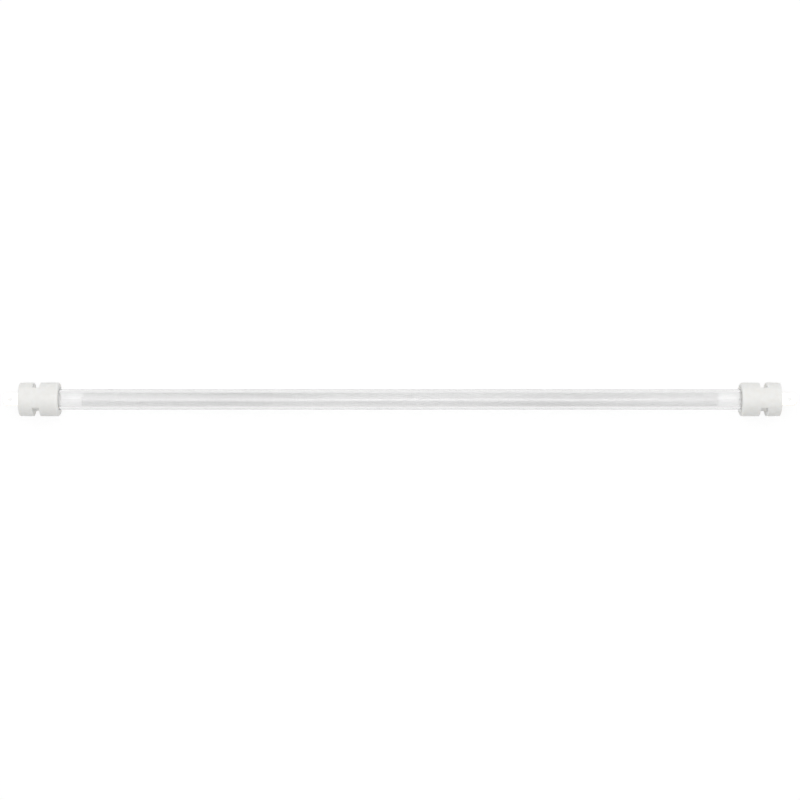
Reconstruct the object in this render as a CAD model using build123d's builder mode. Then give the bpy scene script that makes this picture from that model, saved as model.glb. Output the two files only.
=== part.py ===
from build123d import *
import os
from math import cos, radians, sin, sqrt

# Quartz heating tube, in millimetres.
# The tube lies along X with its middle at the origin, and the slots of its caps face front and back.

# Whole object
overall_length = 372.0  # from the outer face of one cap to that of the other

# Quartz tube
tube_diameter = 10.0
tube_wall = 1.2
tube_end_bevel = 0.25  # fire-polished rim
tube_end_play = 0.2  # left free at the bottom of each seat

# Ceramic end caps
cap_diameter = 16.5
cap_length = 19.5
cap_edge_bevel = 0.4
nose_length = 0.6  # the short cone that rounds off the end towards the tube
nose_land = 2.35  # flat ring left round the mouth of the seat
nose_bevel = 0.25  # where the cone meets the cap's side
slot_width = 3.3
slot_from_face = 6.85  # from the outer face to the nearer wall of the slots
slot_wall = 1.5  # ceramic between the slots and the tube's seat
core_wall = 1.2  # ceramic between a slot's floor and the wiring chamber
end_wall = 3.0  # outer wall that the blade passes through

# Setting cement between cap and tube
cement_thickness = 0.25
cement_recess = 0.4  # left free at the mouth of the seat

# Push-on terminals, stamped and rolled from one strip
blade_width = 6.3
blade_thickness = 0.8
blade_reach = 8.4  # what stands out of the cap
blade_tip_chamfer = 1.4
blade_tip_bevel = 0.15  # thins the tip's front edge
blade_hole_diameter = 1.8
blade_hole_from_tip = 3.6
blade_fit = 0.1  # clearance to each side in the end wall
shoulder_step = 0.45  # the shoulder is this much wider than the blade on each side
shoulder_length = 1.2
chamber_clearance = 0.2  # from the shoulder to the wiring chamber
neck_length = 2.0
barrel_length = 4.0
crimp_clearance = 0.03  # from the wire's corners to the barrel

# Heating coil: one wire in short straight lengths, with a straight tail at each end
wire_width = 0.5
coil_diameter = 6.8
coil_turns = 110
lengths_per_turn = 8
clear_end = 10.5  # clear tube between a cap and the coil
tail_run = 1.6  # length over which the tail comes out to the first turn

# Sizes that follow from those above
half_length = overall_length / 2
tube_radius = tube_diameter / 2
cap_radius = cap_diameter / 2
seat_radius = tube_radius + cement_thickness
seat_floor = slot_from_face + slot_width + slot_wall
tube_length = overall_length - 2 * (seat_floor + tube_end_play)
shoulder_width = blade_width + 2 * shoulder_step
chamber_radius = shoulder_width / 2 + chamber_clearance
slot_floor = chamber_radius + core_wall
barrel_bore_radius = wire_width / sqrt(2) + crimp_clearance
barrel_radius = barrel_bore_radius + blade_thickness
neck_end = end_wall + shoulder_length + neck_length
coil_half_length = half_length - cap_length - clear_end
coil_radius = (coil_diameter - wire_width) / 2

os.makedirs("parts", exist_ok=True)

# The tube is drawn, cut to length and fire-polished at both ends.
with BuildPart() as quartz_tube:
    with BuildSketch(Plane.YZ.offset(-tube_length / 2)):
        Circle(tube_radius)
        Circle(tube_radius - tube_wall, mode=Mode.SUBTRACT)
    extrude(amount=tube_length)
    end_faces = faces().filter_by(Axis.X)
    chamfer(end_faces.edges(), tube_end_bevel)
quartz_tube.part.label = "quartz_tube"
export_step(quartz_tube.part, "parts/quartz_tube.step")

# The wire runs along the axis, out to the first turn, round the coil and back to the axis.
turn_step = 2 * coil_half_length / (coil_turns * lengths_per_turn)
wire_points = [
    (-half_length + neck_end, 0, 0),
    (-coil_half_length - tail_run, 0, 0),
]
for step in range(coil_turns * lengths_per_turn + 1):
    angle = radians(360 * step / lengths_per_turn)
    wire_points.append(
        (step * turn_step - coil_half_length, coil_radius * sin(angle), coil_radius * cos(angle))
    )
wire_points += [
    (coil_half_length + tail_run, 0, 0),
    (half_length - neck_end, 0, 0),
]

with BuildPart() as heating_coil:
    with BuildLine():
        Polyline(*wire_points)
    with BuildSketch(Plane.YZ.offset(-half_length + neck_end)):
        Rectangle(wire_width, wire_width)
    sweep(transition=Transition.RIGHT)
heating_coil.part.label = "heating_coil"
export_step(heating_coil.part, "parts/heating_coil.step")

for side, sign in (("left", -1), ("right", 1)):
    # Half-sections are drawn from the cap's outer face inwards along the tube, and back from the axis.
    outer_face = (sign * half_length, 0, 0)
    section = Plane(origin=outer_face, x_dir=(-sign, 0, 0), z_dir=(0, 0, -sign))
    inwards = Plane(origin=outer_face, x_dir=(0, 0, 1), z_dir=(-sign, 0, 0))

    # The cap is pressed steatite. A stepped bore takes the tube and the wiring, two slots take the bracket.
    with BuildPart() as end_cap:
        with BuildSketch(section) as half_section:
            with BuildLine():
                Polyline(
                    (0, 0),
                    (0, cap_radius),
                    (cap_length - nose_length, cap_radius),
                    (cap_length, seat_radius + nose_land),
                    (cap_length, seat_radius),
                    (seat_floor, seat_radius),
                    (seat_floor, chamber_radius),
                    (end_wall, chamber_radius),
                    (end_wall, 0),
                    close=True,
                )
            make_face()
            chamfer(half_section.vertices().group_by(Axis.Y)[-1].sort_by(Axis.X).first, cap_edge_bevel)
            chamfer(half_section.vertices().group_by(Axis.Y)[-1].sort_by(Axis.X).last, nose_bevel)
        revolve(axis=Axis.X)
        with BuildSketch(section):
            with Locations((slot_from_face, slot_floor), (slot_from_face, -slot_floor - cap_radius)):
                Rectangle(slot_width, cap_radius, align=(Align.MIN, Align.MIN))
        extrude(amount=cap_radius, both=True, mode=Mode.SUBTRACT)
        with BuildSketch(inwards):
            Rectangle(blade_thickness + 2 * blade_fit, blade_width + 2 * blade_fit)
        extrude(amount=end_wall, mode=Mode.SUBTRACT)
    end_cap.part.label = f"{side}_end_cap"
    export_step(end_cap.part, f"parts/{side}_end_cap.step")

    # The cement fills the seat round the tube and stops a little short of its mouth.
    with BuildPart() as cement:
        with BuildSketch(section):
            with Locations((seat_floor, tube_radius)):
                Rectangle(
                    cap_length - cement_recess - seat_floor,
                    cement_thickness,
                    align=(Align.MIN, Align.MIN),
                )
        revolve(axis=Axis.X)
    cement.part.label = f"{side}_cement"
    export_step(cement.part, f"parts/{side}_cement.step")

    # The blade is pushed out through the end wall until its shoulder stops it, and its barrel holds the wire.
    with BuildPart() as terminal:
        with BuildSketch(section) as strip:
            with Locations((-blade_reach, 0)):
                Rectangle(blade_reach + end_wall, blade_width, align=(Align.MIN, Align.CENTER))
            chamfer(strip.vertices().group_by(Axis.X)[0], blade_tip_chamfer)
            with Locations((end_wall, 0)):
                Rectangle(shoulder_length, shoulder_width, align=(Align.MIN, Align.CENTER))
            with Locations((end_wall + shoulder_length, 0)):
                Rectangle(neck_length, 2 * barrel_radius, align=(Align.MIN, Align.CENTER))
            with Locations((blade_hole_from_tip - blade_reach, 0)):
                Circle(blade_hole_diameter / 2, mode=Mode.SUBTRACT)
        extrude(amount=blade_thickness / 2, both=True)
        tip = faces().filter_by(Axis.X).sort_by(Axis.X, reverse=sign > 0).first
        chamfer(tip.edges().filter_by(Axis.Y), blade_tip_bevel)
        with BuildSketch(inwards.offset(neck_end)):
            Circle(barrel_radius)
            Circle(barrel_bore_radius, mode=Mode.SUBTRACT)
        extrude(amount=barrel_length)
    terminal.part.label = f"{side}_terminal"
    export_step(terminal.part, f"parts/{side}_terminal.step")
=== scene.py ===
from math import cos, pi, radians, sin, tau

import bmesh
import bpy
import numpy as np
from mathutils import Matrix, Vector


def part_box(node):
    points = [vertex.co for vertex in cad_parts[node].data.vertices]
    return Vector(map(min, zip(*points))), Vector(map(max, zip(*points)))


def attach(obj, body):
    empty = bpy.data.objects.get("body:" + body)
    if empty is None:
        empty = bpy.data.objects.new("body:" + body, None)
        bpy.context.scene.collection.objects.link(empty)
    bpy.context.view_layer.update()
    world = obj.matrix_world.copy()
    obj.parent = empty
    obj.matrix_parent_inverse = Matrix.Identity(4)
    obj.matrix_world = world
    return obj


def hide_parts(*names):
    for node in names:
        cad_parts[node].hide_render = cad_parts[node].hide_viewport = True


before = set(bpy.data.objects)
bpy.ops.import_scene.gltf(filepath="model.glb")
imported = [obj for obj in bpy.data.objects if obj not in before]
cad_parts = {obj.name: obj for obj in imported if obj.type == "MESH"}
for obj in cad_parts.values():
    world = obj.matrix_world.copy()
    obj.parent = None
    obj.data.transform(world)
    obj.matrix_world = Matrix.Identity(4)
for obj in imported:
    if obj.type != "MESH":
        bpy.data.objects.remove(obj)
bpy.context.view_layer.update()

# Quartz tube.
# Fused quartz, drawn from the melt in long lengths and cut. Fine air lines make it slightly milky.
# Its two ends are fire-polished clear, and they are cemented into the seats of the caps.

tube_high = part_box("quartz_tube")[1]
tube_half_length = tube_high.x
tube_radius = tube_high.y
tube_wall = 0.0012
tube_rim = 0.0003
tube_steps = 160
polished_length = 0.0079
bore_radius = tube_radius - tube_wall
bore_roughness = 0.03
skin_roughness = 0.14
air_line_roughness = 0.06
milky = (0.897, 0.897, 0.898)
less_milky = (0.912, 0.912, 0.912)
clear = (1, 1, 1)
marks_low = 0.3
marks_high = 0.7


class Value:
    """A number that changes over a surface, which can be used in sums."""

    def __init__(self, nodes, socket):
        self.nodes = nodes
        self.socket = socket

    def sum(self, operation, first, second):
        return self.nodes.add("ShaderNodeMath", {"operation": operation}, {0: first, 1: second})

    def __add__(self, other):
        return self.sum("ADD", self, other)

    def __radd__(self, other):
        return self.sum("ADD", other, self)

    def __mul__(self, other):
        return self.sum("MULTIPLY", self, other)

    def __rmul__(self, other):
        return self.sum("MULTIPLY", other, self)

    def __gt__(self, other):
        return self.sum("GREATER_THAN", self, other)

    def __lt__(self, other):
        return self.sum("LESS_THAN", self, other)

    def __or__(self, other):
        return self.sum("MAXIMUM", self, other)

    def __ror__(self, other):
        return self.sum("MAXIMUM", other, self)


class Nodes:
    """The nodes of one finish. A node's settings come first, then the values or links of its sockets."""

    def __init__(self, owner):
        owner.use_nodes = True
        self.tree = owner.node_tree
        self.tree.nodes.clear()

    def add(self, kind, settings={}, inputs={}, output=0):
        node = self.tree.nodes.new(kind)
        for name, setting in settings.items():
            if name == "stops":
                for stop in setting[2:]:
                    node.color_ramp.elements.new(stop[0])
                for element, (position, shade) in zip(node.color_ramp.elements, setting):
                    element.position = position
                    element.color = (*shade, 1)
            else:
                setattr(node, name, setting)
        for name, value in inputs.items():
            if isinstance(value, Value):
                self.tree.links.new(value.socket, node.inputs[name])
            else:
                node.inputs[name].default_value = value
        return Value(self, node.outputs[output]) if node.outputs else node


def place(nodes, stretch):
    """The point on the piece in metres, stretched along X, Y and Z."""
    point = nodes.add("ShaderNodeTexCoord", output="Object")
    return nodes.add("ShaderNodeMapping", {}, {"Vector": point, "Scale": stretch})


def distance(nodes, axes):
    """How far the point on the piece is from the tube's middle, over the axes that are 1 and not 0."""
    return nodes.add("ShaderNodeVectorMath", {"operation": "LENGTH"}, {0: place(nodes, axes)}, "Value")


def speckle(nodes, stretch, detail=2.0):
    """Soft uneven marks from 0 to 1, so many to the metre along X, Y and Z."""
    spot = {"Vector": place(nodes, stretch), "Scale": 1.0, "Detail": detail, "Roughness": 0.55}
    return nodes.add("ShaderNodeTexNoise", {}, spot)


def surface(nodes, **inputs):
    """A Principled surface on the finish's output, with its sockets named in words."""
    named = {}
    for name, value in inputs.items():
        named[name.replace("_", " ").title().replace("Ior", "IOR")] = value
    shader = nodes.add("ShaderNodeBsdfPrincipled", {}, named)
    nodes.add("ShaderNodeOutputMaterial", {}, {"Surface": shader})


def raised(nodes, height, depth, strength):
    """The surface normal over marks of that depth in metres."""
    return nodes.add("ShaderNodeBump", {}, {"Height": height, "Distance": depth, "Strength": strength})


def turned(name, outline, steps):
    """A mesh from a closed outline of (x, radius) points, turned about the tube's axis."""
    x, radius = np.array(outline).T
    angles = np.arange(steps) * tau / steps
    across = np.outer(np.sin(angles), radius)
    up = np.outer(np.cos(angles), radius)
    rings = np.stack((np.tile(x, (steps, 1)), across, up), axis=-1)
    count = len(outline)
    faces = []
    for step in range(steps):
        here = step * count
        there = (step + 1) % steps * count
        for point in range(count):
            after = (point + 1) % count
            faces.append((here + point, here + after, there + after, there + point))
    mesh = bpy.data.meshes.new(name)
    mesh.from_pydata(rings.reshape(-1, 3).tolist(), [], faces)
    mesh.shade_smooth()
    return mesh


def eased(corners, steps=5):
    """A closed outline with rounded corners. A corner is (x, radius, how far back its rounding starts)."""
    outline = []
    for index, (x, radius, cut) in enumerate(corners):
        corner = Vector((x, radius))
        if not cut:
            outline.append(tuple(corner))
            continue
        before = Vector(corners[index - 1][:2])
        after = Vector(corners[(index + 1) % len(corners)][:2])
        first = corner + (before - corner).normalized() * cut
        last = corner + (after - corner).normalized() * cut
        for step in range(steps + 1):
            share = step / steps
            outline.append(tuple(first.lerp(corner, share).lerp(corner.lerp(last, share), share)))
    return outline


def fit(name, mesh, finish, slot, *cad_nodes):
    """A finished piece, in the place of the CAD nodes that it stands for."""
    mesh.materials.clear()
    mesh.materials.append(finish)
    piece = bpy.data.objects.new(name, mesh)
    bpy.context.scene.collection.objects.link(piece)
    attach(piece, "root")
    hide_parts(*cad_nodes)
    return piece


quartz = bpy.data.materials.new("milky_quartz")
nodes = Nodes(quartz)
air_lines = speckle(nodes, (2, 3200, 3200), detail=3.0)
draw_waves = speckle(nodes, (3, 260, 260))
skin = distance(nodes, (0, 1, 1)) > tube_radius - tube_wall / 2
polished = distance(nodes, (1, 0, 0)) > tube_half_length - polished_length
milk = [(marks_low, milky), (marks_high, less_milky), (1.0, clear)]
surface(
    nodes,
    base_color=nodes.add("ShaderNodeValToRGB", {"stops": milk}, {"Fac": air_lines + polished}),
    roughness=bore_roughness + skin * (skin_roughness + air_line_roughness * air_lines),
    ior=1.458,
    transmission_weight=1.0,
    normal=raised(nodes, draw_waves, depth=0.000004, strength=0.5),
)
tube_outline = eased(
    [
        (-tube_half_length, bore_radius, tube_rim),
        (-tube_half_length, tube_radius, tube_rim),
        (tube_half_length, tube_radius, tube_rim),
        (tube_half_length, bore_radius, tube_rim),
    ]
)
tube_mesh = turned("quartz_tube_drawn", tube_outline, tube_steps)
tube = fit("quartz_tube_drawn", tube_mesh, quartz, "quartz", "quartz_tube")
# Clear quartz hardly shades what is behind it, so lamp light goes through to the coil and the cement.
tube.visible_shadow = False

# Heating coil.
# One fine iron-chromium-aluminium wire, wound on a mandrel and stretched to its pitch.
# It sags a little onto the bore, and a straight tail at each end runs along the axis to the crimp.

coil_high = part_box("heating_coil")[1]
wire_radius = 0.000085
wire_sides = 6
wire_dark = (0.64, 0.635, 0.64)
wire_bright = (0.78, 0.775, 0.77)
wind_outer_radius = 0.0034
wind_radius = wind_outer_radius - wire_radius
wind_half_length = 0.156
wind_sag = 0.0002
wind_unevenness = 0.2
turns = 420
steps_per_turn = 24
tail_turns = 0.7
tail_points = 24


def between(nodes, share, low, high):
    """A colour between two, by the share of soft marks from 0 to 1."""
    stops = [(marks_low, low), (marks_high, high)]
    return nodes.add("ShaderNodeValToRGB", {"stops": stops}, {"Fac": share})


def wire_path():
    """Points along the wire, from the crimp at one end to that at the other."""
    count = turns * steps_per_turn
    share = np.linspace(-1, 1, count + 1)
    turn = (share + 1) / 2 * turns
    rise = np.clip(np.minimum(turn, turns - turn) / tail_turns, 0, 1)
    rise = rise * rise * (3 - 2 * rise)
    radius = wind_radius * rise
    along = wind_half_length * (share + wind_unevenness * np.sin(tau * share) / tau)
    across = radius * np.sin(tau * turn)
    up = radius * np.cos(tau * turn) - wind_sag * rise
    wound = np.stack((along, across, up), axis=-1)
    tail = np.linspace(coil_high.x, wind_half_length, tail_points, endpoint=False)
    level = np.zeros_like(tail)
    right_tail = np.stack((tail, level, level), axis=-1)
    left_tail = right_tail * (-1, 1, 1)
    return np.concatenate((left_tail, wound, right_tail[::-1]))


def drawn_wire(name, path, radius, sides):
    """A round wire along a path, with its ends closed."""
    heading = np.gradient(path, axis=0)
    heading /= np.linalg.norm(heading, axis=1, keepdims=True)
    side = np.empty_like(path)
    side[0] = (0, 0, 1)
    for index in range(1, len(path)):
        carried = side[index - 1] - heading[index] * np.dot(side[index - 1], heading[index])
        side[index] = carried / np.linalg.norm(carried)
    other = np.cross(heading, side)
    angles = np.arange(sides) * tau / sides
    ring = np.cos(angles)[None, :, None] * side[:, None] + np.sin(angles)[None, :, None] * other[:, None]
    points = (path[:, None] + radius * ring).reshape(-1, 3)
    faces = [tuple(reversed(range(sides)))]
    for index in range(len(path) - 1):
        here = index * sides
        there = here + sides
        for corner in range(sides):
            after = (corner + 1) % sides
            faces.append((here + corner, here + after, there + after, there + corner))
    faces.append(tuple(range(len(points) - sides, len(points))))
    mesh = bpy.data.meshes.new(name)
    mesh.from_pydata(points.tolist(), [], faces)
    mesh.shade_smooth()
    return mesh


resistance_wire = bpy.data.materials.new("resistance_wire")
nodes = Nodes(resistance_wire)
scale_film = speckle(nodes, (900, 900, 900), detail=3.0)
surface(
    nodes,
    base_color=between(nodes, scale_film, wire_dark, wire_bright),
    metallic=1.0,
    roughness=0.32 + 0.2 * scale_film,
)
coil_mesh = drawn_wire("wound_wire", wire_path(), wire_radius, wire_sides)
fit("wound_wire", coil_mesh, resistance_wire, "coil_wire", "heating_coil")

# End caps.
# White steatite, pressed in a die and fired. A stepped bore takes the tube and the wiring,
# and the bracket of the heater sits in two opposed slots, at the front and the back.

both_ends = (("right", 0), ("left", pi))
cap_low, cap_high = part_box("right_end_cap")
cap_face = cap_high.x
cap_nose = cap_low.x
cap_radius = cap_high.z
cap_steps = 144
fired_shade = (0.845, 0.84, 0.815)
fired_pale = (0.885, 0.885, 0.87)
face_rounding = 0.0005
punch_land = 0.0027
punch_step = 0.00005
punch_ramp = 0.0003
punch_rounding = 0.0001
seat_gap = 0.00025
seat_depth_from_face = 0.01165
seat_radius = tube_radius + seat_gap
seat_floor = cap_face - seat_depth_from_face
nose_length = 0.0006
nose_land = 0.00235
nose_radius = seat_radius + nose_land
nose_rounding = 0.0004
mouth_rounding = 0.0001
end_wall_thickness = 0.003
end_wall = cap_face - end_wall_thickness
chamber_radius = 0.0038
slot_from_face = 0.00685
slot_width = 0.0033
slot_outer = cap_face - slot_from_face
slot_inner = slot_outer - slot_width
slot_floor = 0.005
slot_rounding = 0.00035
web_radius = 0.0044
web_bore = 0.0041
web_reach = 0.0006
web_rounding = 0.0001
blade_opening = Vector((0.004, 0.0065, 0.001))
start_hole = 0.0003
touch = 0.00001
seam = 0.000003
crease = radians(35)


def block(name, low, high):
    """A block between two corners, for cutting."""
    corners = []
    for x in (low[0], high[0]):
        for y in (low[1], high[1]):
            for z in (low[2], high[2]):
                corners.append((x, y, z))
    faces = [(0, 1, 3, 2), (4, 6, 7, 5), (0, 4, 5, 1), (2, 3, 7, 6), (0, 2, 6, 4), (1, 5, 7, 3)]
    mesh = bpy.data.meshes.new(name)
    mesh.from_pydata(corners, [], faces)
    return mesh


def flattened(mesh, reach, rounding):
    """The mesh with its front and back flattened at a distance from the axis, with soft corners."""
    for vertex in mesh.vertices:
        inside = (reach - abs(vertex.co.y)) / rounding
        vertex.co.y = np.copysign(reach - rounding * np.logaddexp(0, inside), vertex.co.y)
    return mesh


def sealed(mesh):
    """The mesh with points that fall together merged, slits filled, and its sharp edges kept."""
    work = bmesh.new()
    work.from_mesh(mesh)
    bmesh.ops.remove_doubles(work, verts=work.verts, dist=seam)
    bmesh.ops.dissolve_degenerate(work, edges=work.edges, dist=seam)
    bmesh.ops.holes_fill(work, edges=[edge for edge in work.edges if edge.is_boundary])
    work.to_mesh(mesh)
    work.free()
    mesh.shade_smooth()
    mesh.set_sharp_from_angle(angle=crease)
    return mesh


def pressed(name, blank, web, opening):
    """A turned blank with a web joined to it and an opening cut through it."""
    makers = []
    for index, mesh in enumerate((blank, web, opening)):
        maker = bpy.data.objects.new(f"{name}_{index}", mesh)
        bpy.context.scene.collection.objects.link(maker)
        makers.append(maker)
    for maker, operation in zip(makers[1:], ("UNION", "DIFFERENCE")):
        change = makers[0].modifiers.new(operation, "BOOLEAN")
        change.operation = operation
        change.object = maker
        change.solver = "EXACT"
    ready = makers[0].evaluated_get(bpy.context.evaluated_depsgraph_get())
    mesh = bpy.data.meshes.new_from_object(ready)
    mesh.name = name
    for maker in makers:
        bpy.data.objects.remove(maker)
    return sealed(mesh)


steatite = bpy.data.materials.new("fired_steatite")
nodes = Nodes(steatite)
clouding = speckle(nodes, (420, 420, 420), detail=4.0)
grain = speckle(nodes, (5200, 5200, 5200), detail=3.0)
surface(
    nodes,
    base_color=between(nodes, clouding, fired_shade, fired_pale),
    roughness=0.45 + 0.25 * grain,
    normal=raised(nodes, grain + 2.0 * clouding, depth=0.00003, strength=0.6),
    subsurface_weight=0.6,
    subsurface_radius=(1.0, 0.96, 0.9),
    subsurface_scale=0.0014,
)
# The blank has a groove all round. The web fills it again, apart from the two slots with flat floors.
cap_outline = eased(
    [
        (cap_face, start_hole, 0),
        (cap_face, cap_radius - punch_step, face_rounding),
        (cap_face - punch_land, cap_radius - punch_step, punch_rounding),
        (cap_face - punch_land - punch_ramp, cap_radius, punch_rounding),
        (slot_outer, cap_radius, slot_rounding),
        (slot_outer, web_radius, 0),
        (slot_inner, web_radius, 0),
        (slot_inner, cap_radius, slot_rounding),
        (cap_nose + nose_length, cap_radius, nose_rounding),
        (cap_nose, nose_radius, nose_rounding),
        (cap_nose, seat_radius, mouth_rounding),
        (seat_floor, seat_radius, 0),
        (seat_floor, chamber_radius, 0),
        (end_wall, chamber_radius, 0),
        (end_wall, start_hole, 0),
    ]
)
web_outline = [
    (slot_outer + web_reach, web_bore),
    (slot_outer + web_reach, cap_radius - touch),
    (slot_inner - web_reach, cap_radius - touch),
    (slot_inner - web_reach, web_bore),
]
opening_low = (end_wall - blade_opening.x / 4, -blade_opening.y / 2, -blade_opening.z / 2)
opening_high = (end_wall + blade_opening.x, blade_opening.y / 2, blade_opening.z / 2)
for side, turn in both_ends:
    blank = turned("cap_blank", cap_outline, cap_steps)
    web = flattened(turned("cap_web", web_outline, cap_steps), slot_floor, web_rounding)
    opening = block("cap_opening", opening_low, opening_high)
    cap_mesh = pressed(f"{side}_cap_fired", blank, web, opening)
    cap_mesh.transform(Matrix.Rotation(turn, 4, "Z"))
    fit(f"{side}_cap_fired", cap_mesh, steatite, "steatite", f"{side}_end_cap")

# Setting cement.
# White refractory cement, brushed round the tube before it goes in, and wiped off at the mouth.
# It sets as a thin sleeve with an uneven edge, which shows through the tube just inside each cap.

cement_low, cement_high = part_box("right_cement")
cement_steps = 120
cement_rounding = 0.00006
cement_unevenness = 0.00006
cement_shade = (0.945, 0.94, 0.93)
cement_pale = (0.975, 0.973, 0.968)
edge_width = 0.001
edge_waves = ((3, 1.0, 0.6), (7, 0.6, 2.1), (13, 0.4, 0.0))

cement = bpy.data.materials.new("setting_cement")
nodes = Nodes(cement)
grit = speckle(nodes, (3000, 3000, 3000), detail=4.0)
surface(
    nodes,
    base_color=between(nodes, grit, cement_shade, cement_pale),
    roughness=0.8 + 0.15 * grit,
    normal=raised(nodes, grit, depth=0.00006, strength=0.8),
)
cement_outline = eased(
    [
        (cement_low.x, tube_radius + touch, cement_rounding),
        (cement_low.x, seat_radius - touch, cement_rounding),
        (cement_high.x - touch, seat_radius - touch, 0),
        (cement_high.x - touch, tube_radius + touch, 0),
    ]
)
for side, turn in both_ends:
    sleeve = turned(f"{side}_cement_sleeve", cement_outline, cement_steps)
    for vertex in sleeve.vertices:
        angle = np.arctan2(vertex.co.y, vertex.co.z) + turn
        wave = sum(size * sin(count * angle + shift) for count, size, shift in edge_waves)
        if vertex.co.x < cement_low.x + edge_width:
            vertex.co.x += cement_unevenness * wave
    sleeve.transform(Matrix.Rotation(turn, 4, "Z"))
    fit(f"{side}_cement_sleeve", sleeve, cement, "cement", f"{side}_cement")

# Terminals.
# Nickel-plated steel strip, stamped to a push-on blade with a detent hole.
# The inner end is rolled into a barrel, which is crimped on the tail of the wire.

terminal_low, terminal_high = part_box("right_terminal")
blade_tip = terminal_high.x
blade_half_width = 0.00315
blade_thickness = 0.0008
blade_corner = 0.0014
stamped_edge = 0.0002
detent_radius = 0.0009
detent_from_tip = 0.0036
detent_place = blade_tip - detent_from_tip
detent_points = 48
shoulder_half_width = terminal_high.y
shoulder_length = 0.0012
shoulder_end = end_wall - shoulder_length
neck_length = 0.002
neck_end = shoulder_end - neck_length
barrel_end = terminal_low.x
barrel_radius = terminal_high.z
barrel_bore = 0.00038
barrel_steps = 48
nickel_dull = (0.74, 0.715, 0.67)
nickel_bright = (0.83, 0.81, 0.775)

nickel = bpy.data.materials.new("nickel_plate")
nodes = Nodes(nickel)
rolling = speckle(nodes, (500, 9000, 9000), detail=3.0)
handling = speckle(nodes, (700, 700, 700), detail=3.0)
surface(
    nodes,
    base_color=between(nodes, handling, nickel_dull, nickel_bright),
    metallic=1.0,
    roughness=0.2 + 0.14 * rolling + 0.1 * handling,
    normal=raised(nodes, rolling, depth=0.00001, strength=0.4),
)


def stamped(name, outline, hole, hole_radius, thickness, edge):
    """A flat stamping in the X-Y plane, with one round hole and its edges rounded over."""
    sheet = bpy.data.curves.new(name, "CURVE")
    sheet.dimensions = "2D"
    sheet.fill_mode = "BOTH"
    sheet.extrude = thickness / 2 - edge
    sheet.bevel_depth = edge
    sheet.bevel_resolution = 2
    sheet.offset = -edge
    angles = np.linspace(0, tau, detent_points, endpoint=False)
    circle = [(hole + hole_radius * cos(angle), hole_radius * sin(angle)) for angle in angles]
    for points in (outline, circle):
        spline = sheet.splines.new("POLY")
        spline.points.add(len(points) - 1)
        for point, (x, y) in zip(spline.points, points):
            point.co = (x, y, 0, 1)
        spline.use_cyclic_u = True
    blank = bpy.data.objects.new(name + "_blank", sheet)
    bpy.context.scene.collection.objects.link(blank)
    ready = blank.evaluated_get(bpy.context.evaluated_depsgraph_get())
    mesh = bpy.data.meshes.new_from_object(ready)
    bpy.data.objects.remove(blank)
    return mesh


def joined(name, *meshes):
    """One sealed mesh of several."""
    points = []
    faces = []
    for mesh in meshes:
        first = len(points)
        points += [tuple(vertex.co) for vertex in mesh.vertices]
        faces += [tuple(first + corner for corner in face.vertices) for face in mesh.polygons]
    result = bpy.data.meshes.new(name)
    result.from_pydata(points, [], faces)
    return sealed(result)


half_blade = [
    (blade_tip, blade_half_width - blade_corner),
    (blade_tip - blade_corner, blade_half_width),
    (end_wall, blade_half_width),
    (end_wall, shoulder_half_width),
    (shoulder_end, shoulder_half_width),
    (shoulder_end, barrel_radius),
    (neck_end, barrel_radius),
]
blade_outline = half_blade + [(x, -y) for x, y in reversed(half_blade)]
barrel_outline = [
    (barrel_end, barrel_bore),
    (barrel_end, barrel_radius),
    (neck_end, barrel_radius),
    (neck_end, barrel_bore),
]
for side, turn in both_ends:
    blade = stamped("blade", blade_outline, detent_place, detent_radius, blade_thickness, stamped_edge)
    barrel = turned("barrel", barrel_outline, barrel_steps)
    terminal_mesh = joined(f"{side}_terminal_plated", blade, barrel)
    terminal_mesh.transform(Matrix.Rotation(turn, 4, "Z"))
    fit(f"{side}_terminal_plated", terminal_mesh, nickel, "nickel", f"{side}_terminal")

# Floor, light and camera.
# The tube lies on plain white paper, under a broad soft light from behind and a strip of light overhead.
# The camera looks down on it, leaning a little to the front, as in the photograph.

floor_level = -cap_radius
floor_reach = 12.0
floor_shade = (0.93, 0.93, 0.93, 1)
wall_shade = (1, 1, 1, 1)
white_near = 0.32
white_far = 1.1
white_share = 0.8
white_strength = 1.05
ambient = 0.4


def seen(nodes):
    """1 for what is looked at directly, in a reflection or through glass, 0 for light on the object."""
    direct = nodes.add("ShaderNodeLightPath", output="Is Camera Ray")
    reflected = nodes.add("ShaderNodeLightPath", output="Is Glossy Ray")
    through_glass = nodes.add("ShaderNodeLightPath", output="Is Transmission Ray")
    return direct | reflected | through_glass


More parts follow.
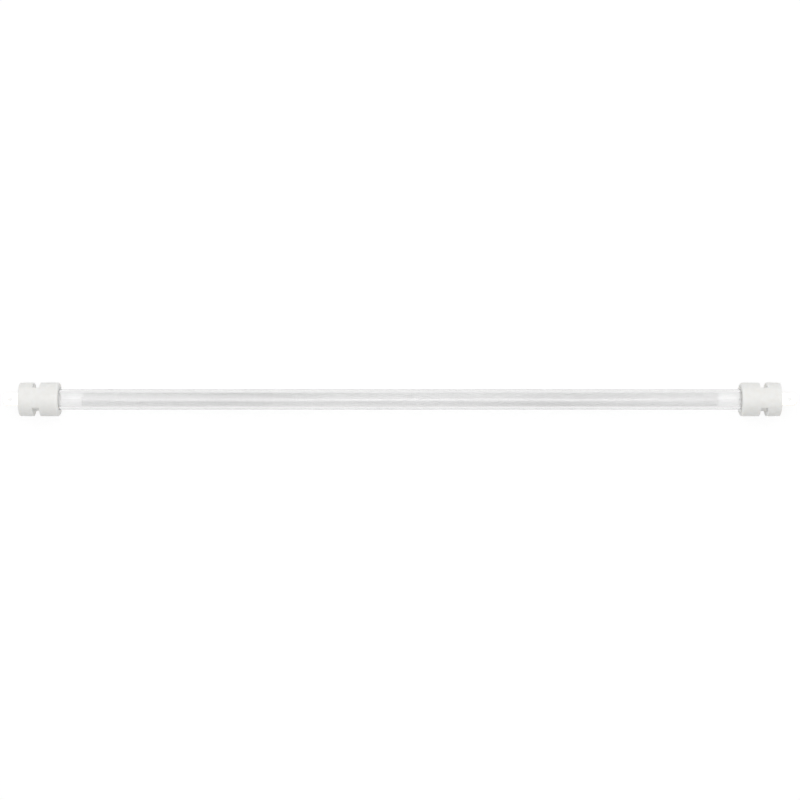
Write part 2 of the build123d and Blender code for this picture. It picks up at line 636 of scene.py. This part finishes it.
paper = bpy.data.materials.new("white_paper")
nodes = Nodes(paper)
matt = nodes.add("ShaderNodeBsdfDiffuse", {}, {"Color": floor_shade})
bright = nodes.add("ShaderNodeEmission", {}, {"Strength": white_strength})
reach = {
    "Value": distance(nodes, (1, 1, 1)),
    "From Min": white_near,
    "From Max": white_far,
    "To Min": white_share,
    "To Max": 1.0,
}
whiteness = nodes.add("ShaderNodeMapRange", {"interpolation_type": "SMOOTHSTEP"}, reach)
mixed = nodes.add("ShaderNodeMixShader", {}, {0: whiteness * seen(nodes), 1: matt, 2: bright})
nodes.add("ShaderNodeOutputMaterial", {}, {"Surface": mixed})
floor_mesh = bpy.data.meshes.new("floor")
floor_signs = ((-1, -1), (1, -1), (1, 1), (-1, 1))
floor_corners = [(x * floor_reach, y * floor_reach, floor_level) for x, y in floor_signs]
floor_mesh.from_pydata(floor_corners, [], [(0, 1, 2, 3)])
floor_mesh.materials.append(paper)
floor = bpy.data.objects.new("floor", floor_mesh)
bpy.context.scene.collection.objects.link(floor)

room = bpy.data.worlds.new("white_room")
bpy.context.scene.world = room
nodes = Nodes(room)
wall_light = nodes.add("ShaderNodeBackground", {}, {"Color": wall_shade, "Strength": ambient})
wall_look = nodes.add("ShaderNodeBackground", {}, {"Color": wall_shade, "Strength": 1.0})
walls = nodes.add("ShaderNodeMixShader", {}, {0: seen(nodes), 1: wall_light, 2: wall_look})
nodes.add("ShaderNodeOutputWorld", {}, {"Surface": walls})


def soft_light(name, spot, width, height, power):
    """A rectangular soft light at a spot, aimed at the middle of the tube."""
    lamp = bpy.data.lights.new(name, "AREA")
    lamp.shape = "RECTANGLE"
    lamp.size = width
    lamp.size_y = height
    lamp.energy = power
    light = bpy.data.objects.new(name, lamp)
    light.location = spot
    light.rotation_euler = (Vector((0, 0, 0)) - Vector(spot)).to_track_quat("-Z", "Y").to_euler()
    # The tube casts no shadow, so a lamp that also showed through its glass would count twice.
    light.visible_transmission = False
    bpy.context.scene.collection.objects.link(light)


soft_light("rear_light", spot=(0, 0.5, 0.98), width=2.4, height=1.0, power=7.4)
soft_light("strip_light", spot=(0, -0.29, 1.115), width=0.85, height=0.26, power=3.95)

view_distance = 1.0
view_lean = radians(7.5)
view_drop = 0.0003
camera_data = bpy.data.cameras.new("camera")
camera_data.sensor_width = 36
camera_data.lens = 91.84
camera_data.clip_start = 0.01
camera = bpy.data.objects.new("camera", camera_data)
camera.rotation_euler = (view_lean, 0, 0)
camera.location = camera.rotation_euler.to_matrix() @ Vector((0, -view_drop, view_distance))
bpy.context.scene.collection.objects.link(camera)
bpy.context.scene.camera = camera
bpy.context.scene.view_settings.view_transform = "Standard"
